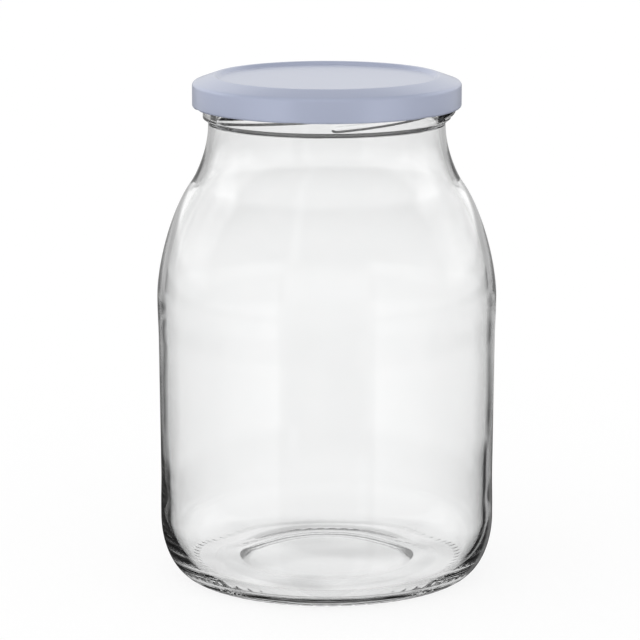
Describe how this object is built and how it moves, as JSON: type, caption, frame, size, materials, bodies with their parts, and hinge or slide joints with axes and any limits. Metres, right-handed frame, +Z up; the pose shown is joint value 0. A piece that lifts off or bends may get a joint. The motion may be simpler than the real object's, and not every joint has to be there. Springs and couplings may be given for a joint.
{
  "type": "preserving jar with twist-off lid",
  "caption": "Empty wide-mouth preserving jar of clear glass with rounded shoulders and heel, closed with a pale lacquered metal twist-off lid.",
  "frame": {"origin": "centre of the flat bearing ring that the jar stands on", "axes": "+Z up along the jar's axis, -Y towards the front"},
  "size_m": [0.1066, 0.1066, 0.1591],
  "materials": {
    "clear_glass": "fire-polished moulded flint glass, smooth, slightly uneven inside",
    "lid_lacquer": "satin-gloss pale lavender grey lacquer on tinplate",
    "sealing_compound": "matt off-white plastisol"
  },
  "bodies": {
    "root": {"jar": "clear_glass", "lid": "lid_lacquer", "seal": "sealing_compound"}
  },
  "joints": []
}
